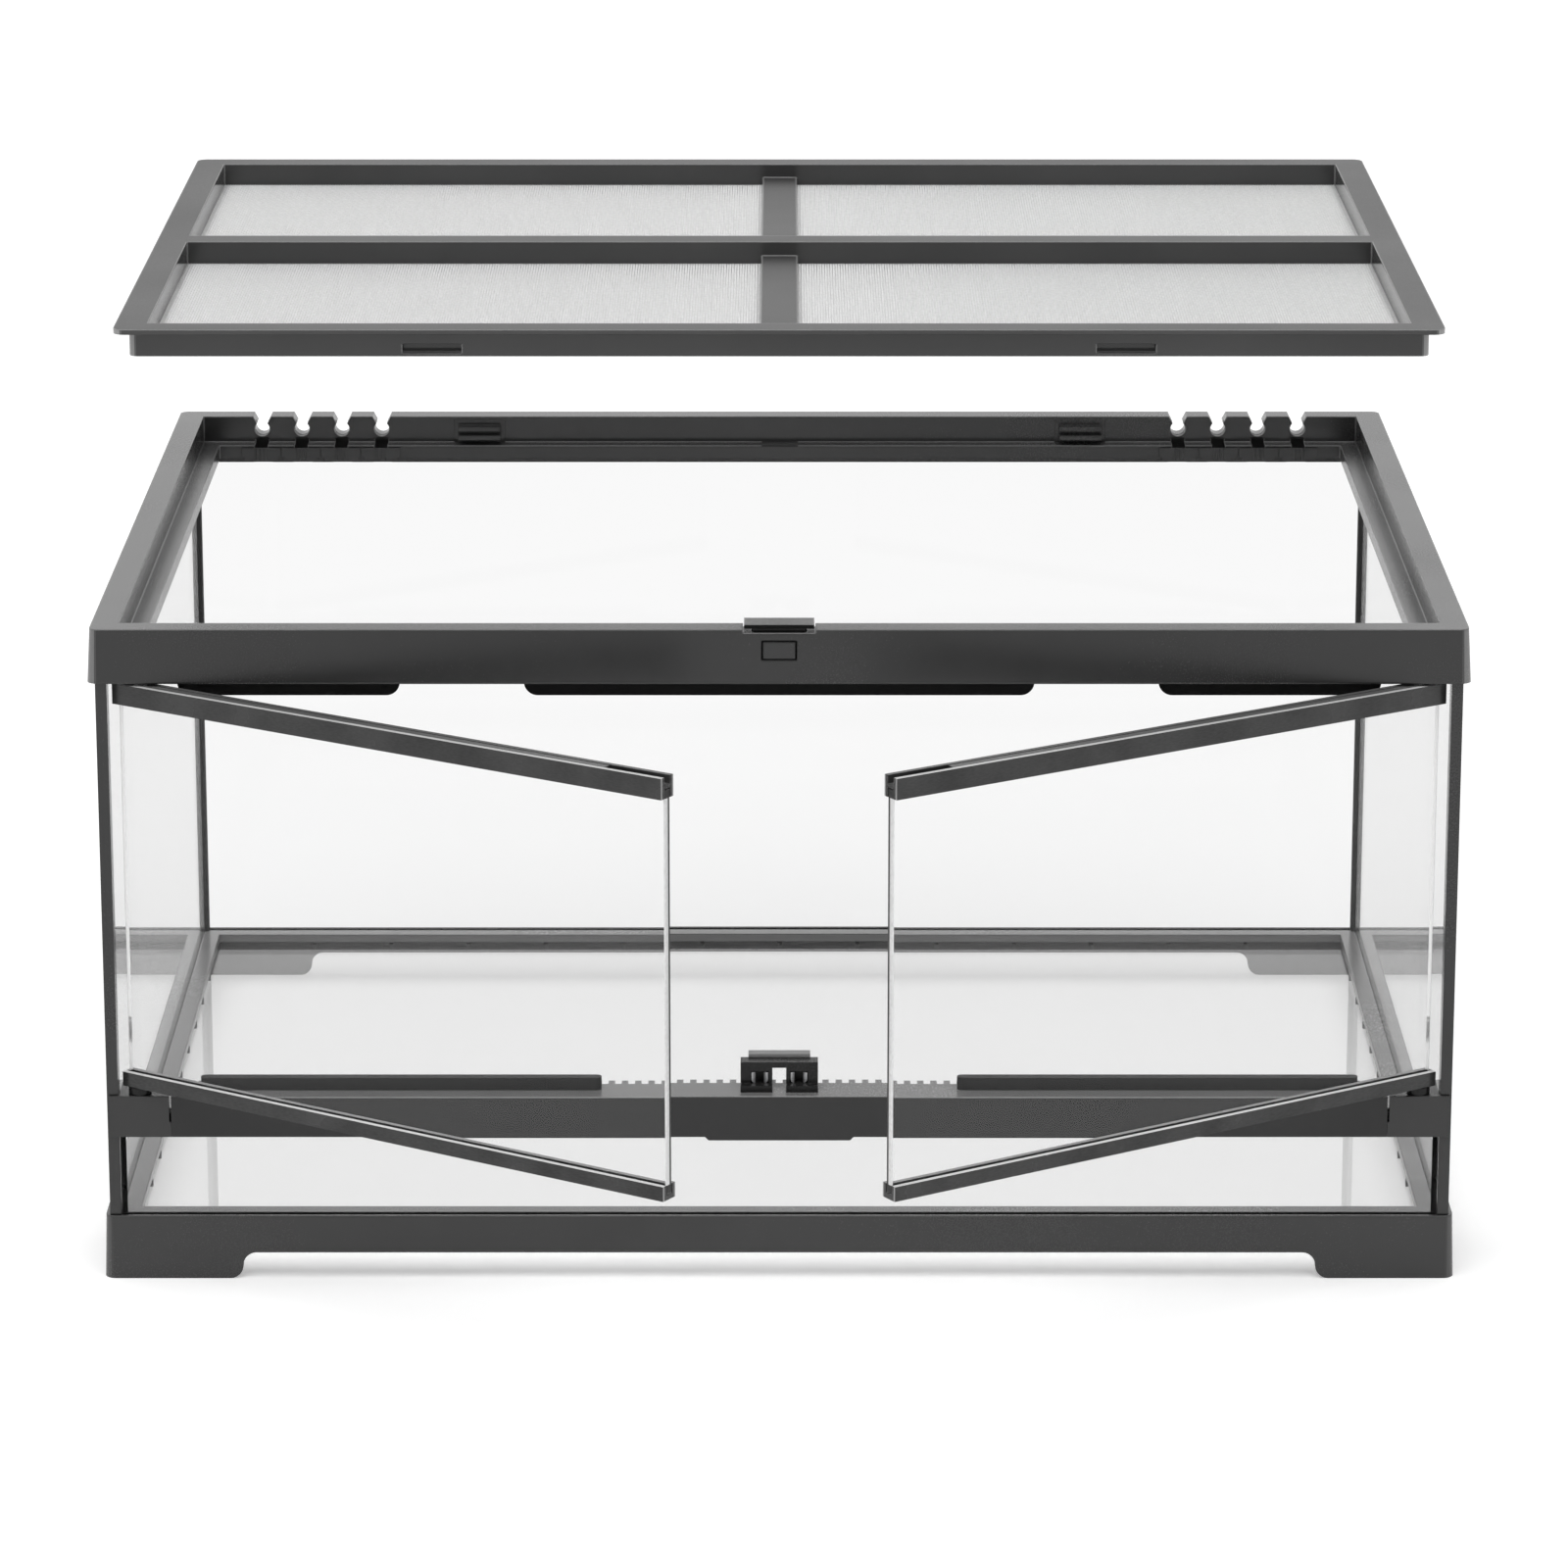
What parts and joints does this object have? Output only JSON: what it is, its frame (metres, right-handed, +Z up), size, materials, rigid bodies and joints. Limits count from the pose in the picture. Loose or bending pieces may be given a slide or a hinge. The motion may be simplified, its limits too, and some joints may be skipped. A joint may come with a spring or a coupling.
{
  "type": "reptile terrarium",
  "caption": "Glass terrarium with a raised base frame, double front doors over a sill with a catch, cable inlets with shutters in the rear rim, and a latched lift-off screen lid.",
  "frame": {"origin": "on the floor under the middle of the tank's footprint", "axes": "+X to the right seen from the front, +Y to the back, +Z up; the doors face -Y"},
  "size_m": [0.6028, 0.6041, 0.428],
  "materials": {
    "frame_plastic": "fine-textured charcoal grey moulding",
    "rail_plastic": "satin charcoal extrusion",
    "black_plastic": "matte black moulding",
    "tank_glass": "clear float glass with seamed edges",
    "door_glass": "clear float glass with polished edges",
    "sealant": "black silicone",
    "seal_rubber": "matte black rubber",
    "pin_steel": "bright stainless steel",
    "screen_mesh": "fine woven stainless screen"
  },
  "bodies": {
    "tank": {"base_frame": "frame_plastic", "bottom_glass": "tank_glass", "back_glass": "tank_glass", "left_glass": "tank_glass", "right_glass": "tank_glass", "front_lower_glass": "tank_glass", "front_post_left": "frame_plastic", "front_post_right": "frame_plastic", "rear_silicone_left": "sealant", "rear_silicone_right": "sealant", "front_silicone_left": "sealant", "front_silicone_right": "sealant", "sill": "frame_plastic", "sill_bracket_left": "frame_plastic", "sill_bracket_right": "frame_plastic", "door_seal_left": "seal_rubber", "door_seal_right": "seal_rubber", "catch_housing": "black_plastic", "catch_clips": "pin_steel", "catch_backplate": "black_plastic", "top_frame": "frame_plastic", "lid_hook_left": "frame_plastic", "lid_hook_right": "frame_plastic", "lid_latch_pin": "pin_steel", "lid_latch_spring": "pin_steel"},
    "lid": {"lid_frame": "frame_plastic", "lid_mesh_front_left": "screen_mesh", "lid_mesh_front_right": "screen_mesh", "lid_mesh_back_left": "screen_mesh", "lid_mesh_back_right": "screen_mesh"},
    "door_left": {"door_glass_left": "door_glass", "door_top_rail_left": "rail_plastic", "door_bottom_rail_left": "rail_plastic", "door_rail_cover_left": "rail_plastic", "door_pivots_left": "black_plastic"},
    "door_right": {"door_glass_right": "door_glass", "door_top_rail_right": "rail_plastic", "door_bottom_rail_right": "rail_plastic", "door_rail_cover_right": "rail_plastic", "door_pivots_right": "black_plastic"},
    "lid_latch": {"lid_latch": "frame_plastic"},
    "shutter_left_1": {"inlet_shutter_left_1": "frame_plastic"},
    "shutter_left_2": {"inlet_shutter_left_2": "frame_plastic"},
    "shutter_left_3": {"inlet_shutter_left_3": "frame_plastic"},
    "shutter_left_4": {"inlet_shutter_left_4": "frame_plastic"},
    "shutter_right_1": {"inlet_shutter_right_1": "frame_plastic"},
    "shutter_right_2": {"inlet_shutter_right_2": "frame_plastic"},
    "shutter_right_3": {"inlet_shutter_right_3": "frame_plastic"},
    "shutter_right_4": {"inlet_shutter_right_4": "frame_plastic"}
  },
  "joints": [
    {"name": "lid_lift", "type": "slide", "parent": "tank", "child": "lid", "axis": [0, 0, 1], "range_m": [-0.13, 0]},
    {"name": "door_left_hinge", "type": "hinge", "parent": "tank", "child": "door_left", "pos_m": [-0.2835, -0.2198, 0.18], "axis": [0, 0, -1], "range_deg": [-33, 67]},
    {"name": "door_right_hinge", "type": "hinge", "parent": "tank", "child": "door_right", "pos_m": [0.2835, -0.2198, 0.18], "axis": [0, 0, 1], "range_deg": [-33, 67]},
    {"name": "latch_press", "type": "hinge", "parent": "tank", "child": "lid_latch", "pos_m": [0, -0.2193, 0.2935], "axis": [1, 0, 0], "range_deg": [0, 11], "stiffness_Nm_per_rad": 0.05, "springref_deg": -5.73, "deforming": ["lid_latch_spring"]},
    {"name": "shutter_left_1_slide", "type": "slide", "parent": "tank", "child": "shutter_left_1", "axis": [0, 0, 1], "range_m": [0, 0.0074]},
    {"name": "shutter_left_2_slide", "type": "slide", "parent": "tank", "child": "shutter_left_2", "axis": [0, 0, 1], "range_m": [0, 0.0074]},
    {"name": "shutter_left_3_slide", "type": "slide", "parent": "tank", "child": "shutter_left_3", "axis": [0, 0, 1], "range_m": [0, 0.0074]},
    {"name": "shutter_left_4_slide", "type": "slide", "parent": "tank", "child": "shutter_left_4", "axis": [0, 0, 1], "range_m": [0, 0.0074]},
    {"name": "shutter_right_1_slide", "type": "slide", "parent": "tank", "child": "shutter_right_1", "axis": [0, 0, 1], "range_m": [0, 0.0074]},
    {"name": "shutter_right_2_slide", "type": "slide", "parent": "tank", "child": "shutter_right_2", "axis": [0, 0, 1], "range_m": [0, 0.0074]},
    {"name": "shutter_right_3_slide", "type": "slide", "parent": "tank", "child": "shutter_right_3", "axis": [0, 0, 1], "range_m": [0, 0.0074]},
    {"name": "shutter_right_4_slide", "type": "slide", "parent": "tank", "child": "shutter_right_4", "axis": [0, 0, 1], "range_m": [0, 0.0074]}
  ]
}
